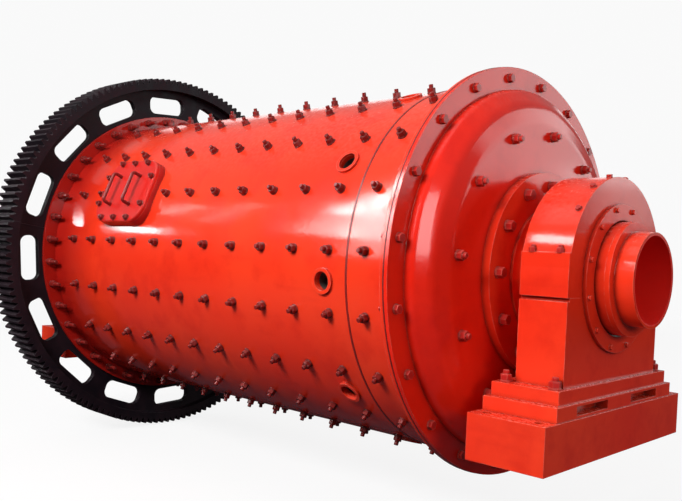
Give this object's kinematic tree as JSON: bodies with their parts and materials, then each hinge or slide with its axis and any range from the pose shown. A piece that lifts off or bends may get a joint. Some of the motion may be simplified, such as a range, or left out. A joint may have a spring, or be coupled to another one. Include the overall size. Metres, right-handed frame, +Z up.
{
  "type": "rod mill",
  "caption": "Rod mill: a flanged steel drum with a girth gear, dished heads and hollow trunnions, turning in two capped bearings on sole plates.",
  "frame": {"origin": "middle of the underside of the discharge-end sole plate, where it rests on its foundation", "axes": "+X along the drum from the gear end to the discharge end, +Z up, -Y the side seen in the picture"},
  "size_m": [4.52, 2.592, 2.592],
  "materials": {
    "red_paint": "gloss",
    "gear_iron": "greased, dark",
    "manganese_steel": "worn",
    "spout_steel": "dark red paint",
    "white_metal": "machined"
  },
  "bodies": {
    "stand": {"sole_plate_discharge_end": "red_paint", "pedestal_discharge_end": "red_paint", "bearing_bush_discharge_end": "white_metal", "bearing_cap_discharge_end": "red_paint", "seal_ring_outer_discharge_end": "red_paint", "seal_ring_inner_discharge_end": "red_paint", "sole_plate_gear_end": "red_paint", "pedestal_gear_end": "red_paint", "bearing_bush_gear_end": "white_metal", "bearing_cap_gear_end": "red_paint", "seal_ring_outer_gear_end": "red_paint", "seal_ring_inner_gear_end": "red_paint"},
    "drum": {"shell": "red_paint", "discharge_course": "red_paint", "port_collars": "red_paint", "shell_flange_discharge_end": "red_paint", "shell_flange_gear_end": "red_paint", "shell_liner": "manganese_steel", "manhole_frame": "red_paint", "manhole_cover": "red_paint", "manhole_grips": "red_paint", "girth_gear_upper_half": "gear_iron", "girth_gear_lower_half": "gear_iron", "head_discharge_end": "red_paint", "head_liner_discharge_end": "manganese_steel", "trunnion_discharge_end": "red_paint", "spout_discharge_end": "spout_steel", "head_gear_end": "red_paint", "head_liner_gear_end": "manganese_steel", "trunnion_gear_end": "red_paint", "spout_gear_end": "spout_steel"}
  },
  "joints": [
    {"name": "drum_spin", "type": "hinge", "parent": "stand", "child": "drum", "pos_m": [0, 0, 0.8], "axis": [1, 0, 0], "continuous": true}
  ]
}
